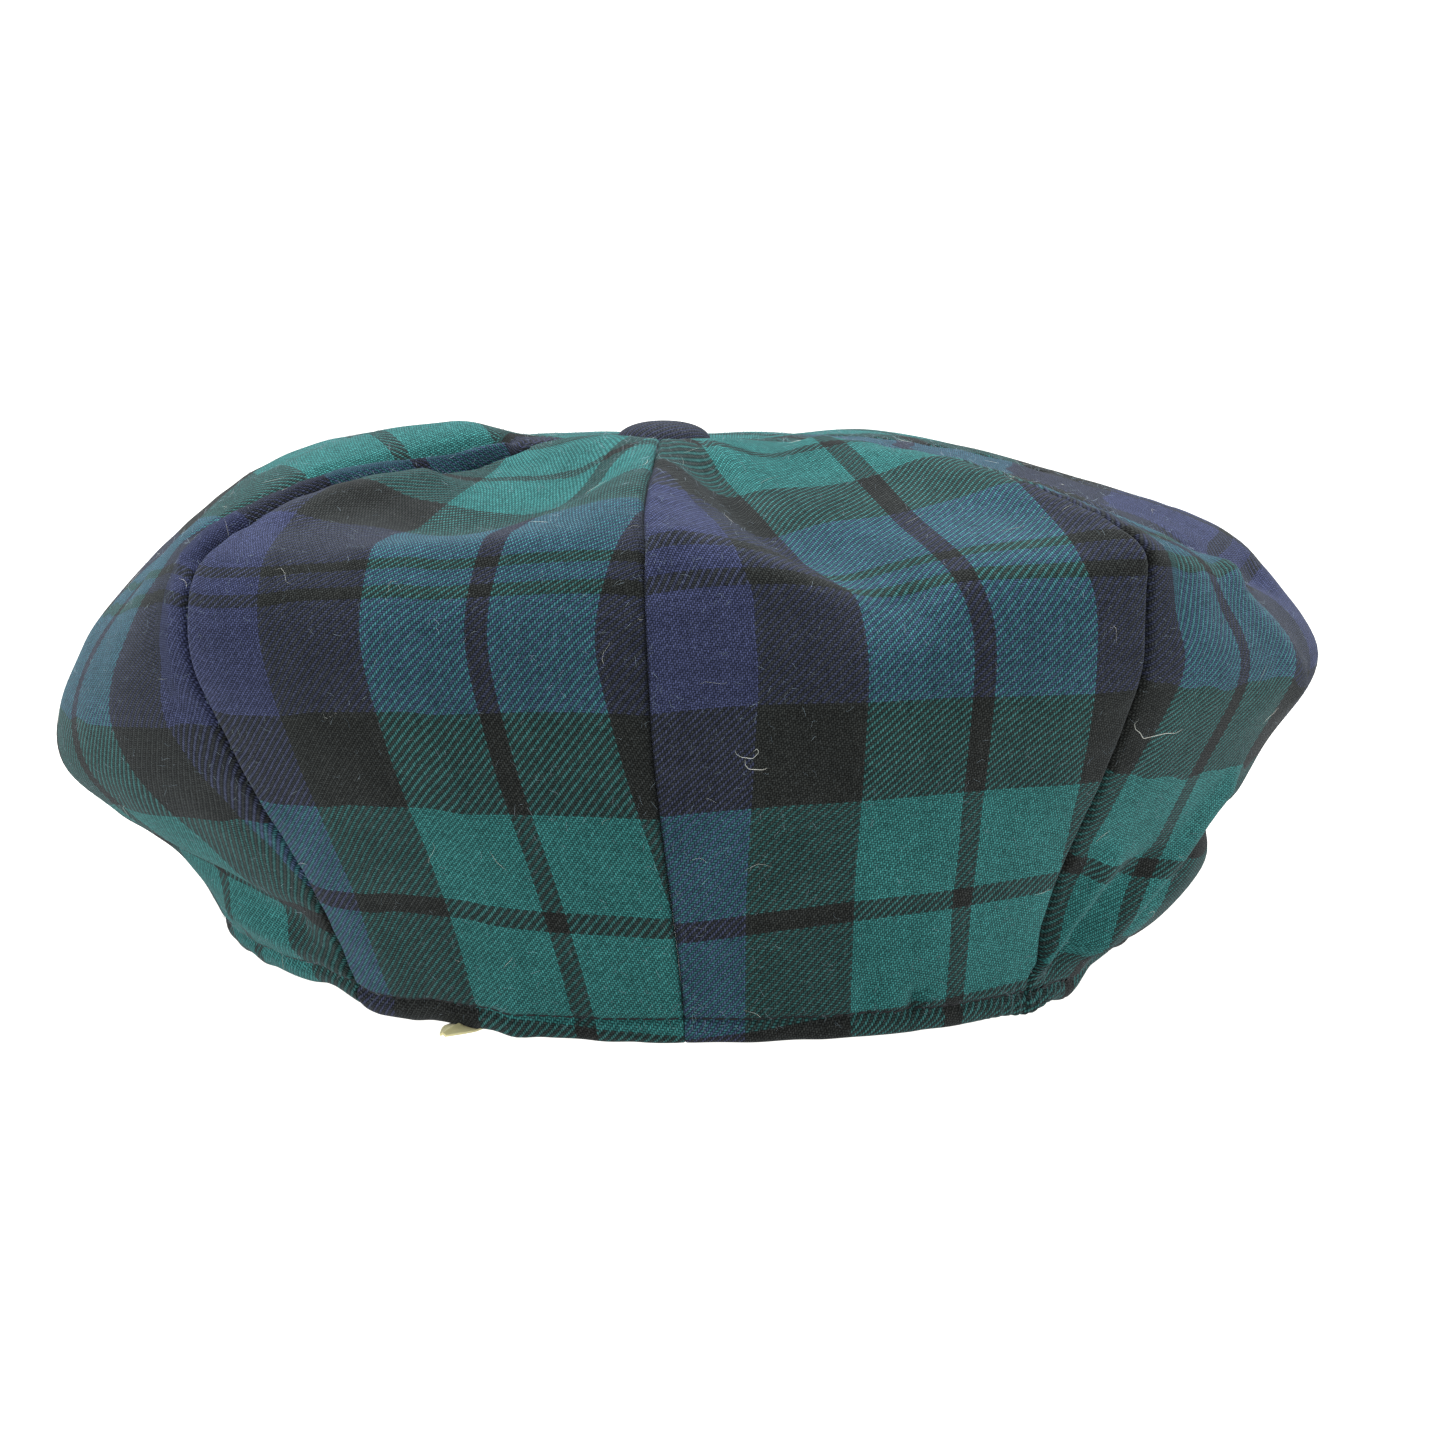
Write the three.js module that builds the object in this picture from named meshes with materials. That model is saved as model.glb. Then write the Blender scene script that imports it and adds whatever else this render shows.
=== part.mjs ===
// A soft eight-panel cloth cap with a peak, standing on its hem as it does on a table.
// Units are millimetres and +Z is up. The peak points to -Y and the back seam faces +Y.
// The origin is the centre of the head opening, on the surface that the cap stands on.
import * as THREE from "three";

// Driving sizes of the cloth and the sewing
const CLOTH_WALL = 1.6; // wool twill with its backing
const HEM_WALL = 3; // the same cloth turned under twice and stitched
const HEM_HEIGHT = 9; // where the turned cloth has thinned out to one wall
const SEAM_GAP = 0.3;
const PANEL_COLUMNS = 12;
const PANEL_ROWS = 23;

// Driving sizes of the button, the peak and the corner of lining
const BUTTON = { radius: 9.8, rise: 6, shank_radius: 3.6, shank_length: 4, sides: 24 };
const BUTTON_SEAT = { radius: 14.5, hole: 5.5, height: 103 };
const PEAK = { wall: 3, reach: 58, half_angle: 62, drop: 0.6, columns: 28, rows: 6 };
const LINING = { angle: -28.6, half_width: 4.5, shows: 9, tucked: 7, wall: 1 };

// How far the hem stands off the table: the back panels touch it, the sides clear the ends of the peak,
// the front lies on the root of the peak, and the corner of lining comes out under a small arch.
const SIDE_LIFT = PEAK.wall + SEAM_GAP;
const FRONT_LIFT = 11;
const LEFT_STEP = { from: 41.5, to: 50 };
const RIGHT_STEP = { from: 56, to: 64 };
const FRONT_STEP = { from: 112, to: 178 };
const LINING_ARCH = { lift: 1.4, half_angle: 8 };

// The crown leans this far to +X at the height of the button.
const LEAN = 5;

// The crown's outline as [radius, height] at stations from the hem up to the button. Rows run round from
// the back seam by the -X side, two for each panel. Swing turns a row's middle round the crown, in degrees.
const STATIONS = ["flare", "rim", "shoulder", "crest", "dish", "top"];
const SECTION_COLUMNS = ["angle", "swing", "hem", ...STATIONS];
const SECTIONS = [
  [0, -2, 90, [94, 25], [98, 60], [96, 86], [88, 98], [66, 105], [44, 108]],
  [22.5, -1, 91.5, [97, 25], [109, 58], [113, 79], [107, 91], [80, 96], [50, 103]],
  [45, 0, 93, [103, 25.5], [120, 56], [128.5, 75], [126.5, 92.5], [101, 103], [62, 108]],
  [67.5, 0, 88.5, [104, 17], [121, 46], [130.5, 67], [117, 86.5], [89, 98.5], [56, 105.5]],
  [90, 0, 92, [105.5, 16.5], [118.5, 43], [131.5, 63], [109, 88], [83.5, 98.3], [54, 105.5]],
  [112.5, 0, 93, [107, 18], [120, 40], [126, 60], [104, 86], [78, 97], [51, 105]],
  [135, 0, 92, [108, 18.5], [121, 38], [120, 58], [97, 84], [73, 95.5], [48, 103]],
  [157.5, 0, 90, [107, 18], [121, 36], [116, 56], [93, 81], [70, 94], [47, 102]],
  [180, 0, 88, [104, 17], [118, 33], [112, 54], [90, 78], [68, 92], [46, 101]],
  [202.5, 0, 90, [107, 17], [122, 36], [115, 58], [92, 81], [70, 94], [47, 102]],
  [225, 0, 92, [110, 18], [126, 40], [118, 62], [94, 85], [72, 96], [48, 103]],
  [247.5, 0, 94, [107, 18.5], [126, 40], [117, 64], [95, 87], [76, 99], [50, 105]],
  [270, 0, 94.5, [102.5, 17.5], [127.5, 40.5], [119.5, 64], [99, 87.5], [78, 103], [52, 108]],
  [292.5, 0, 92, [101, 21], [123, 47], [121, 72], [102, 90.5], [80, 104], [50, 108.5]],
  [315, -2.4, 89.5, [100, 24], [116, 55], [123.5, 78], [119, 92], [88, 102.5], [50, 104.5]],
  [337.5, -2, 90.5, [97, 25.5], [108, 58], [112, 82], [103, 95], [77, 95], [48, 102]],
].map((row) => Object.fromEntries(SECTION_COLUMNS.map((name, i) => [name, row[i]])));
const SECTION_ANGLE = 360 / SECTIONS.length;
const PANEL_ANGLE = 2 * SECTION_ANGLE;

// Where the panels come together round the button: a ring that is higher at the back by its tilt
const GATHER = { radius: 25, height: 106.2, tilt: 2.6 };

// Main folds of the cloth: ridges (height above 0) and valleys (below 0). Each runs over the surface from
// [angle, share of the way from hem to button] to another such place, with its half width and height given
// at both ends, and fades out past its half width.
const FOLD_COLUMNS = ["fold", "from", "to", "half_width", "height"];
const FOLDS = [
  ["left_lip", [-49.3, 0.475], [-50, 0.82], [3.5, 4.5], [3.2, 2.6]],
  ["left_groove", [-45.5, 0.47], [-45.5, 0.82], [3.5, 4], [-2.5, -2.5]],
  ["left_dish", [-24, 0.6], [-14, 0.72], [10, 8], [-3, -2]],
  ["left_crest", [-29, 0.49], [-8, 0.535], [4, 4], [1.2, 1.2]],
  ["right_trough", [14, 0.8], [24, 0.47], [8, 10], [-3, -6]],
  ["right_crest", [4, 0.53], [17, 0.47], [5, 5], [2, 1.5]],
  ["right_ridge", [45, 0.455], [41.5, 0.8], [6, 7], [2.5, 3]],
  ["right_brow", [46, 0.45], [60, 0.44], [5, 5], [1.5, 2]],
  ["right_edge", [60, 0.44], [72, 0.33], [5, 5], [2, 2]],
  ["right_dip", [54, 0.55], [57, 0.8], [6, 7], [-3, -3]],
  ["right_hollow", [56, 0.53], [80, 0.44], [6, 6], [-3, -3]],
  ["left_crease", [-80, 0.13], [-52, 0.07], [5, 5], [-3.5, -3]],
  ["left_tuck", [-86, 0.22], [-74, 0.14], [4, 4], [-2, -3]],
  ["left_hem_ridge", [-68, 0.058], [-48, 0.035], [4, 3], [2, 2]],
  ["right_fold", [50.5, 0.15], [46.5, 0.05], [3.5, 3], [2, 2.5]],
  ["right_valley", [56, 0.15], [49.5, 0.045], [4, 3.5], [-2, -3]],
  ["right_pleat", [66, 0.225], [56, 0.065], [4, 4], [2, 3]],
  ["right_tuck", [73, 0.2], [63, 0.07], [5, 4], [-2, -3]],
].map((row) => Object.fromEntries(FOLD_COLUMNS.map((name, i) => [name, row[i]])));
const FOLD_STEPS = 8;

// The hem and the ring round the button hold the cloth, so folds die out there.
const FOLD_FREE = { above: 0.07, below: 0.9 };

const radians = THREE.MathUtils.degToRad;
const step = THREE.MathUtils.smoothstep;

// Angle from the back seam, between -180 and 180 degrees, positive on the -X side.
const turned = (angle) => THREE.MathUtils.euclideanModulo(angle + 180, 360) - 180;

// The value of a Catmull-Rom spline through a ring of evenly spaced values, one for each section.
function aroundCrown(values, angle) {
  const place = angle / SECTION_ANGLE;
  const i = Math.floor(place);
  const f = place - i;
  const at = (k) => values[THREE.MathUtils.euclideanModulo(k, values.length)];
  const [a, b, c, d] = [at(i - 1), at(i), at(i + 1), at(i + 2)];
  return b + 0.5 * f * (c - a + f * (2 * a - 5 * b + 4 * c - d + f * (3 * (b - c) + d - a)));
}

function hemLift(angle) {
  const side = turned(angle);
  const { from, to } = side > 0 ? RIGHT_STEP : LEFT_STEP;
  const off_lining = Math.abs(turned(angle - LINING.angle)) / LINING_ARCH.half_angle;
  return (
    SIDE_LIFT * step(Math.abs(side), from, to) +
    (FRONT_LIFT - SIDE_LIFT) * step(Math.abs(side), FRONT_STEP.from, FRONT_STEP.to) +
    LINING_ARCH.lift * (1 - step(off_lining, 0.5, 1))
  );
}

const hemRadius = (angle) => aroundCrown(SECTIONS.map((s) => s.hem), angle);

// The curve up the crown from hem to button at one angle, with x for radius and y for height.
const meridians = new Map();
function meridian(angle) {
  if (!meridians.has(angle)) {
    const spot = (station) =>
      new THREE.Vector3(...[0, 1].map((i) => aroundCrown(SECTIONS.map((s) => s[station][i]), angle)));
    const curve = new THREE.CatmullRomCurve3([
      new THREE.Vector3(hemRadius(angle), hemLift(angle)),
      ...STATIONS.map(spot),
      new THREE.Vector3(GATHER.radius, GATHER.height + GATHER.tilt * Math.cos(radians(angle))),
      new THREE.Vector3(BUTTON_SEAT.radius, BUTTON_SEAT.height),
      new THREE.Vector3(BUTTON_SEAT.hole, BUTTON_SEAT.height),
    ]);
    meridians.set(angle, curve);
  }
  return meridians.get(angle);
}

// A place on the crown before it is folded
function smoothPoint(angle, share) {
  const { x: radius, y: height } = meridian(angle).getPointAt(THREE.MathUtils.clamp(share, 0, 1));
  const middle = step(share, 0, 0.35) * (1 - step(share, 0.6, 1));
  const swing = aroundCrown(SECTIONS.map((s) => s.swing), angle) * middle;
  return new THREE.Vector3(
    -radius * Math.sin(radians(angle + swing)) + LEAN * (height / BUTTON_SEAT.height),
    radius * Math.cos(radians(angle + swing)),
    height,
  );
}

// The outward normal of a surface that is given by angle and share
const ANGLE_STEP = 0.5;
const SHARE_STEP = 0.004;
function outward(surface, angle, share) {
  const round = surface(angle + ANGLE_STEP, share).sub(surface(angle - ANGLE_STEP, share));
  const up = surface(angle, share + SHARE_STEP).sub(surface(angle, share - SHARE_STEP));
  return round.cross(up).normalize();
}

// Each fold's line over the smooth crown, as short straight pieces
const SPINES = FOLDS.map(({ from, to, half_width, height }) => {
  const spots = Array.from({ length: FOLD_STEPS + 1 }, (_, i) =>
    smoothPoint(...[0, 1].map((k) => THREE.MathUtils.lerp(from[k], to[k], i / FOLD_STEPS))),
  );
  const pieces = spots.slice(1).map((spot, i) => new THREE.Line3(spots[i], spot));
  return { pieces, half_width, height };
});

function foldHeight(point) {
  const nearest = new THREE.Vector3();
  return SPINES.reduce((sum, { pieces, half_width, height }) => {
    const away = pieces.map((p) => p.closestPointToPoint(point, true, nearest).distanceTo(point));
    const least = Math.min(...away);
    const i = away.indexOf(least);
    const along = (i + pieces[i].closestPointToPointParameter(point, true)) / FOLD_STEPS;
    const width_here = THREE.MathUtils.lerp(...half_width, along);
    return sum + THREE.MathUtils.lerp(...height, along) * Math.exp(-((least / width_here) ** 2));
  }, 0);
}

function crownPoint(angle, share) {
  const point = smoothPoint(angle, share);
  const free = step(share, 0, FOLD_FREE.above) * (1 - step(share, FOLD_FREE.below, 1));
  return point.addScaledVector(outward(smoothPoint, angle, share), foldHeight(point) * free);
}

// A closed wall between two sheets of points, each a list of columns. The first sheet faces outwards.
function wallGeometry(outer, inner) {
  const columns = outer.length - 1;
  const rows = outer[0].length - 1;
  const points = [...outer.flat(), ...inner.flat()];
  const out = (c, r) => c * (rows + 1) + r;
  const ins = (c, r) => points.length / 2 + out(c, r);
  const triangles = [];
  const quad = (a, b, c, d) => triangles.push(a, b, c, a, c, d);
  for (let c = 0; c < columns; c++) {
    for (let r = 0; r < rows; r++) {
      quad(out(c, r), out(c + 1, r), out(c + 1, r + 1), out(c, r + 1));
      quad(ins(c, r), ins(c, r + 1), ins(c + 1, r + 1), ins(c + 1, r));
    }
    quad(out(c, 0), ins(c, 0), ins(c + 1, 0), out(c + 1, 0));
    quad(out(c, rows), out(c + 1, rows), ins(c + 1, rows), ins(c, rows));
  }
  for (let r = 0; r < rows; r++) {
    quad(out(0, r), out(0, r + 1), ins(0, r + 1), ins(0, r));
    quad(out(columns, r), ins(columns, r), ins(columns, r + 1), out(columns, r + 1));
  }
  return new THREE.BufferGeometry().setFromPoints(points).setIndex(triangles);
}

// One panel from a seam to the next, thicker along its turned hem.
function panelGeometry(first_angle) {
  const outer = [];
  const inner = [];
  for (let c = 0; c <= PANEL_COLUMNS; c++) {
    const angle = first_angle + (c / PANEL_COLUMNS) * PANEL_ANGLE;
    const length = meridian(angle).getLength();
    const side = c === 0 ? 1 : c === PANEL_COLUMNS ? -1 : 0;
    const round = new THREE.Vector3(-Math.cos(radians(angle)), -Math.sin(radians(angle)), 0);
    const inset = round.multiplyScalar((side * SEAM_GAP) / 2);
    outer.push([]);
    inner.push([]);
    for (let r = 0; r <= PANEL_ROWS; r++) {
      const share = r / PANEL_ROWS;
      const wall = THREE.MathUtils.lerp(HEM_WALL, CLOTH_WALL, step(share * length, 0, HEM_HEIGHT));
      const facing = outward(crownPoint, angle, share);
      if (r === 0) facing.setZ(0).normalize();
      const point = crownPoint(angle, share).add(inset);
      outer[c].push(point);
      inner[c].push(point.clone().addScaledVector(facing, -wall));
    }
  }
  return wallGeometry(outer, inner);
}

// The peak, a stiff crescent whose root lies under the front hem.
function peakGeometry() {
  const top = [];
  const bottom = [];
  for (let c = 0; c <= PEAK.columns; c++) {
    const across = (2 * c) / PEAK.columns - 1;
    const angle = 180 + across * PEAK.half_angle;
    const bow = Math.sqrt(1 - across ** 2);
    const root = hemRadius(angle) - HEM_WALL;
    const depth = HEM_WALL + 1 + PEAK.reach * bow;
    top.push([]);
    bottom.push([]);
    for (let r = 0; r <= PEAK.rows; r++) {
      const along = r / PEAK.rows;
      const point = new THREE.Vector3(
        -root * Math.sin(radians(angle)),
        root * Math.cos(radians(angle)) - depth * along,
        hemLift(angle) - SEAM_GAP - PEAK.drop * (hemLift(angle) - SIDE_LIFT) * along ** 2,
      );
      top[c].push(point);
      bottom[c].push(point.clone().setZ(point.z - PEAK.wall));
    }
  }
  return wallGeometry(bottom, top);
}

// A round cloth-covered button with its shank down through the hole where the panels meet.
function buttonGeometry() {
  const { radius, rise, shank_radius, shank_length, sides } = BUTTON;
  const profile = new THREE.Path();
  profile.moveTo(0, -shank_length);
  profile.lineTo(shank_radius, -shank_length);
  profile.lineTo(shank_radius, 0);
  profile.lineTo(radius * 0.92, 0);
  profile.quadraticCurveTo(radius * 1.02, rise * 0.1, radius, rise * 0.3);
  profile.bezierCurveTo(radius * 0.95, rise * 0.75, radius * 0.5, rise, 0, rise);
  return new THREE.LatheGeometry(profile.getPoints(6), sides);
}

// A folded corner of the lining that comes out under the hem.
function liningGeometry() {
  const { half_width, shows, tucked, wall } = LINING;
  const outline = new THREE.Shape();
  outline.moveTo(-half_width, -tucked);
  outline.lineTo(half_width, -tucked);
  outline.lineTo(half_width, 0);
  outline.lineTo(half_width * 0.2, shows * 0.94);
  outline.quadraticCurveTo(0, shows * 1.04, -half_width * 0.2, shows * 0.94);
  outline.lineTo(-half_width, 0);
  return new THREE.ExtrudeGeometry(outline, { depth: wall, bevelEnabled: false, curveSegments: 4 });
}

const tartan = new THREE.MeshStandardMaterial({ color: 0x2c4a52, roughness: 0.95, metalness: 0 });
const button_cloth = new THREE.MeshStandardMaterial({ color: 0x262d3a, roughness: 0.95, metalness: 0 });
const lining_cloth = new THREE.MeshStandardMaterial({ color: 0xc9c48f, roughness: 0.7, metalness: 0 });

const cap = new THREE.Group();
const PANELS = [
  "panel_back_right",
  "panel_right_rear",
  "panel_right_fore",
  "panel_front_right",
  "panel_front_left",
  "panel_left_fore",
  "panel_left_rear",
  "panel_back_left",
];
PANELS.forEach((name, i) => {
  const panel = new THREE.Mesh(panelGeometry(i * PANEL_ANGLE), tartan);
  panel.name = name;
  cap.add(panel);
});

const button = new THREE.Mesh(buttonGeometry(), button_cloth);
button.name = "button";
button.rotation.x = Math.PI / 2;
button.position.set(LEAN, 0, BUTTON_SEAT.height + SEAM_GAP);
cap.add(button);

const peak = new THREE.Mesh(peakGeometry(), tartan);
peak.name = "peak";
cap.add(peak);

const lining = new THREE.Mesh(liningGeometry(), lining_cloth);
lining.name = "lining_corner";
lining.position.y = hemRadius(LINING.angle);
const lining_place = new THREE.Group();
lining_place.rotation.z = radians(LINING.angle);
lining_place.add(lining);
cap.add(lining_place);

export default cap;
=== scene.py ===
import math

import bpy
import numpy as np
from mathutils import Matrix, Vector, noise


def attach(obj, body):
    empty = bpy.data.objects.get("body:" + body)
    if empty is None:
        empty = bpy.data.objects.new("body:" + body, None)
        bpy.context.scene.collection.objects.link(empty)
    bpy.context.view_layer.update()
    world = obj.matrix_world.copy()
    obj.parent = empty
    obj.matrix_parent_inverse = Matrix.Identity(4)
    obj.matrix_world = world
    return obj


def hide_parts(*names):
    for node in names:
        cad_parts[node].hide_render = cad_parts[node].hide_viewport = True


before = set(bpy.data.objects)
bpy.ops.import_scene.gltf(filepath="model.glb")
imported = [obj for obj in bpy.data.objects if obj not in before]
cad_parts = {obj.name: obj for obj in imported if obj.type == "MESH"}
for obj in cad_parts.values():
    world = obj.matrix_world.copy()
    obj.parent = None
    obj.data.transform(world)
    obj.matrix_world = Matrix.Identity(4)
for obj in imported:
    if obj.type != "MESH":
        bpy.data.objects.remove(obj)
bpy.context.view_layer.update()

# Sizes are in millimetres and angles in degrees, as in the part's source, until a mesh is written in metres.
MM = 0.001
rng = np.random.default_rng(8)

# The cloth and its sewing
CLOTH_THICKNESS = 1.2
HEM_TURN = 1.5  # radius of the fold at the bottom of the hem
HEM_INSIDE = (11, 9, 7, 5, 3.5, 2.5, 1.5)  # heights of the rows turned up inside
HEM_CLEAR = 9  # height from which the hem no longer flattens a seam
STITCH_LINE = 4.8  # height of the stitching above the hem's edge
STITCH = {"pitch": 2.5, "length": 2.3, "width": 0.55, "flatness": 1.2, "tilt": 5, "spread": 2, "proud": 0.05}
STITCH_PULL = {"depth": 0.95, "half_width": 0.8}
SEAM_ROOM = {"width": 45, "least": 0.12}  # a panel narrower than this has less room for its seams
SEAM_ROLL = {"radius": 1.7, "at_hem": 0.3, "hem": 2}  # the rolled edge where two panels meet
SEAM_PUFF = {"depth": 0.8, "reach": 4.5}
SEAM_PUCKER = {"height": 0.22, "pitch": 9, "reach": 6, "edge": 2}
PUCKER_DRIFT = {"turn": 2.2, "size": 17, "last_seam": 2.1}  # keeps the puckers uneven
HEM_BEAD = {"height": 0.35, "at": 2.6, "half_width": 1.5}  # the hem stands out below its stitching
HEM_RUMPLE = {"height": 0.4, "size": 9, "at": 9, "half_width": 6}  # and rumples above it
HEM_GATHER = {"angle": 46, "half_angle": 8, "pitch": 2.4, "height": 0.4, "at": 3.5, "half_width": 3.5}
HEM_WAVER = {"height": 1.1, "size": 9, "reach": 6}  # the hem's edge isn't quite even
# Small dents over the stitching: angle and half angle, height and half height, depth
HEM_DENTS = [(28.3, 0.9, 7, 3, 1.9), (22.3, 1.8, 9, 4, 1)]
# Slow swells over the whole cloth: height, size, and a shift that makes them differ
SWELLS = [(0.9, 31, 0), (0.35, 12, 90)]

# The mesh of a panel: rows close together over the hem and even above it, columns closer towards the seams
PANEL_COLUMNS, CROWN_ROWS, HEM_TURN_ROWS = 80, 132, 7
COLUMN_EVENNESS = 0.2
BESIDE = 0.01  # share of a panel to the extra column beyond each seam, for the normals there
FINE_ROWS = {"to": 8, "step": 0.5}
NEXT_ROWS = {"to": 13, "step": 1.0}
FIRST_OUTER_ROW = len(HEM_INSIDE) + HEM_TURN_ROWS

# The crown's outline as (radius, height) at stations from the hem up to the button, as in the part's source.
# Rows run round from the back seam by the -X side, two for each panel.
LEAN = 5
SEAT_RADIUS, SEAT_HOLE, SEAT_HEIGHT = 12.5, 5.5, 103
SIDE_LIFT, FRONT_LIFT = 3.3, 11
LEFT_STEP, RIGHT_STEP, FRONT_STEP = (41.5, 50), (56, 64), (112, 178)
LINING_ANGLE, ARCH_LIFT, ARCH_HALF_ANGLE = -28.6, 0.9, 8
STATIONS = ("flare", "rim", "shoulder", "crest", "dish", "top")
SECTION_COLUMNS = ("angle", "swing", "hem") + STATIONS
SECTIONS = [
    (0, -2, 90, (94, 25), (98, 60), (96, 86), (88, 98), (66, 105), (44, 108)),
    (22.5, -1, 91.5, (97, 25), (109, 58), (113, 79), (107, 91), (80, 96), (50, 103)),
    (45, 0, 93, (103, 25.5), (120, 56), (128.5, 75), (126.5, 92.5), (101, 103), (62, 108)),
    (67.5, 0, 88.5, (104, 17), (121, 46), (130.5, 67), (117, 86.5), (89, 98.5), (56, 105.5)),
    (90, 0, 92, (105.5, 16.5), (118.5, 43), (131.5, 63), (109, 88), (83.5, 98.3), (54, 105.5)),
    (112.5, 0, 93, (107, 18), (120, 40), (126, 60), (104, 86), (78, 97), (51, 105)),
    (135, 0, 92, (108, 18.5), (121, 38), (120, 58), (97, 84), (73, 95.5), (48, 103)),
    (157.5, 0, 90, (107, 18), (121, 36), (116, 56), (93, 81), (70, 94), (47, 102)),
    (180, 0, 88, (104, 17), (118, 33), (112, 54), (90, 78), (68, 92), (46, 101)),
    (202.5, 0, 90, (107, 17), (122, 36), (115, 58), (92, 81), (70, 94), (47, 102)),
    (225, 0, 92, (110, 18), (126, 40), (118, 62), (94, 85), (72, 96), (48, 103)),
    (247.5, 0, 94, (107, 18.5), (126, 40), (117, 64), (95, 87), (76, 99), (50, 105)),
    (270, 0, 94.5, (102.5, 17.5), (127.5, 40.5), (119.5, 64), (99, 87.5), (78, 103), (52, 108)),
    (292.5, 0, 92, (101, 21), (123, 47), (121, 72), (102, 90.5), (80, 104), (50, 108.5)),
    (315, -2.4, 89.5, (100, 24), (116, 55), (123.5, 78), (119, 92), (88, 102.5), (50, 104.5)),
    (337.5, -2, 90.5, (97, 25.5), (108, 58), (112, 82), (102, 94.5), (77, 98), (48, 103)),
]
SECTIONS = [dict(zip(SECTION_COLUMNS, row)) for row in SECTIONS]
SECTION_ANGLE = 360 / len(SECTIONS)
PANEL_ANGLE = 2 * SECTION_ANGLE
GATHER_RADIUS, GATHER_HEIGHT, GATHER_TILT = 25, 106.2, 2.6
SWING_RISE, SWING_FADE = (0, 0.35), (0.6, 1)  # shares of the height where a section's swing comes and goes
MERIDIAN_STEPS = 40

# Folds: start and end as (angle, share of the way from hem to button), then half widths and heights there
FOLDS = [
    ("left_lip", (-47.2, 0.455), (-47.6, 0.83), (1.6, 1.7), (1.0, 2.2)),
    ("left_groove", (-45.2, 0.465), (-45.4, 0.84), (1.3, 1.4), (-3, -3)),
    ("left_pleat", (-50.2, 0.49), (-50.8, 0.83), (1.8, 2.2), (-1.5, -2.5)),
    ("left_brow", (-41.5, 0.56), (-40, 0.7), (5, 5), (2.2, 2.5)),
    ("left_swell", (-60, 0.5), (-60, 0.8), (10, 10), (1.2, 3.6)),
    ("left_dish", (-26, 0.6), (-14, 0.74), (10, 8), (-2, -2)),
    ("left_crest", (-29, 0.49), (-8, 0.535), (4, 4), (1.2, 1.2)),
    ("right_trough", (14, 0.8), (24, 0.47), (8, 10), (-3, -6)),
    ("right_crest", (4, 0.53), (17, 0.47), (5, 5), (2, 1.5)),
    ("right_ridge", (45, 0.455), (41.5, 0.8), (6, 7), (2.5, 3)),
    ("right_brow", (46, 0.45), (60, 0.44), (5, 5), (1.5, 2)),
    ("right_edge", (60, 0.44), (72, 0.33), (5, 5), (2, 2)),
    ("right_dip", (54, 0.55), (57, 0.8), (6, 7), (-4.5, -5.5)),
    ("right_bulge", (84, 0.47), (102, 0.45), (13, 13), (2.4, 2.4)),
    ("right_hollow", (56, 0.53), (80, 0.44), (6, 6), (-3, -3)),
    ("left_crease", (-80, 0.13), (-52, 0.07), (5, 5), (-3.5, -3)),
    ("left_tuck", (-86, 0.22), (-74, 0.14), (4, 4), (-2, -3)),
    ("left_hem_ridge", (-68, 0.058), (-48, 0.035), (4, 3), (2, 2)),
    ("right_fold", (50.5, 0.15), (46.5, 0.05), (3.5, 3), (2, 2.5)),
    ("right_valley", (56, 0.15), (49.5, 0.045), (4, 3.5), (-2, -3)),
    ("right_pleat", (66, 0.225), (56, 0.065), (4, 4), (2, 3)),
    ("right_tuck", (73, 0.2), (63, 0.07), (5, 4), (-2, -3)),
    ("right_notch", (104, 0.12), (70, 0.175), (5, 5), (-4.5, -3.5)),
]
FOLD_STEPS = 8
FOLD_FREE = (0.07, 0.9)

# Panels in order round the crown, with how the tartan lies on each.
# Warp and weft: where its two narrow black lines cross, across from the panel's middle and up from its hem.
# Lean: how far a line moves sideways for each millimetre along it.
# Fan: how much more the weft leans with each millimetre of height.
# Sag: how far the weft drops from the middle to a seam.
# Ease: how far the cloth is drawn down near the hem. Tuck: cloth taken up in the fold at the crest.
# Pleat: cloth taken up behind the roll beside a seam, with which seam it is (0 the first, -1 the last) and
# the height where it starts.
PANEL_FIELDS = ("name", "warp", "warp_lean", "weft", "weft_lean", "fan", "sag", "ease", "tuck", "pleat")
PLEAT_FIELDS = ("depth", "seam", "from")
NO_PLEAT = (0, 0, 0)
LEAN_FROM, FAN_FROM, SAG_REACH = 50, 25, 45
EASE_FADE, TUCK_RISE = (27, 47), (88, 112)  # heights between which one goes and the other comes
PLEAT_EDGE = (4.5, 8.5)  # distances from the seam between which the cloth goes under the roll
PLEAT_RISE = 36  # height over which a pleat takes up its cloth
PANELS = [
    ("panel_back_right", 17.5, 0, 28.6, 0.1, 0, 1.4, 1.8, 0, NO_PLEAT),
    ("panel_right_rear", -21, 0, 31.5, -0.05, 0, 0, 0, 0, (-20, 0, 81)),
    ("panel_right_fore", 10, 0, 26, 0, 0, 0, 0, 0, NO_PLEAT),
    ("panel_front_right", -14, 0, 25, 0, 0, 0, 0, 0, NO_PLEAT),
    ("panel_front_left", 14, 0, 25, 0, 0, 0, 0, 0, NO_PLEAT),
    ("panel_left_fore", 2, 0, 25, 0, 0, 0, 0, 0, NO_PLEAT),
    ("panel_left_rear", -8.5, -0.2, 22.6, -0.1, 0.0025, 0, 0, 12, (26, -1, 65)),
    ("panel_back_left", 13.7, -0.06, 25.7, -0.05, 0, 1.2, 0, 8, NO_PLEAT),
]
PANELS = [dict(zip(PANEL_FIELDS, row)) for row in PANELS]

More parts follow.
